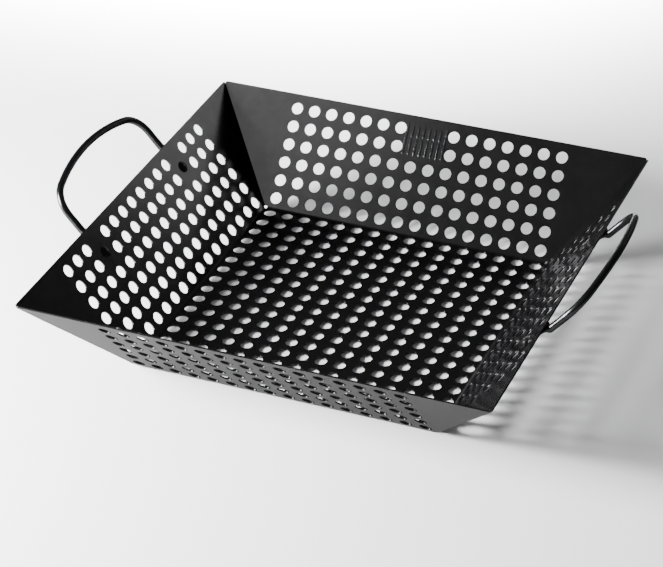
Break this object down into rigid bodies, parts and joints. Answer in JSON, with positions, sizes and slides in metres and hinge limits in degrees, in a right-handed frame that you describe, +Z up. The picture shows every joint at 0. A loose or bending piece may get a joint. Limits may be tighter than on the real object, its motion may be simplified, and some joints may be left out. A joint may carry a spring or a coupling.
{
  "type": "grill basket",
  "caption": "Square perforated sheet-steel grill basket with outward-sloping walls, a plain embossed panel and a riveted wire handle on each side, all in a satin black coating.",
  "frame": {"origin": "centre of the basket's underside, on the surface it rests on", "axes": "+Z up, out of the basket's mouth; +X towards the right handle; +Y towards the wall with the embossed panel"},
  "size_m": [0.3644, 0.3062, 0.0907],
  "materials": {
    "coated_sheet": "satin",
    "tack_weld": "satin",
    "handle_wire": "gloss",
    "rivet": "satin"
  },
  "bodies": {
    "root": {"floor_panel": "coated_sheet", "front_wall": "coated_sheet", "back_wall": "coated_sheet", "left_wall": "coated_sheet", "right_wall": "coated_sheet", "tack_welds_front_left": "tack_weld", "tack_welds_front_right": "tack_weld", "tack_welds_back_left": "tack_weld", "tack_welds_back_right": "tack_weld", "handle_left": "handle_wire", "handle_right": "handle_wire", "rivet_left_front": "rivet", "rivet_left_back": "rivet", "rivet_right_front": "rivet", "rivet_right_back": "rivet"}
  },
  "joints": []
}
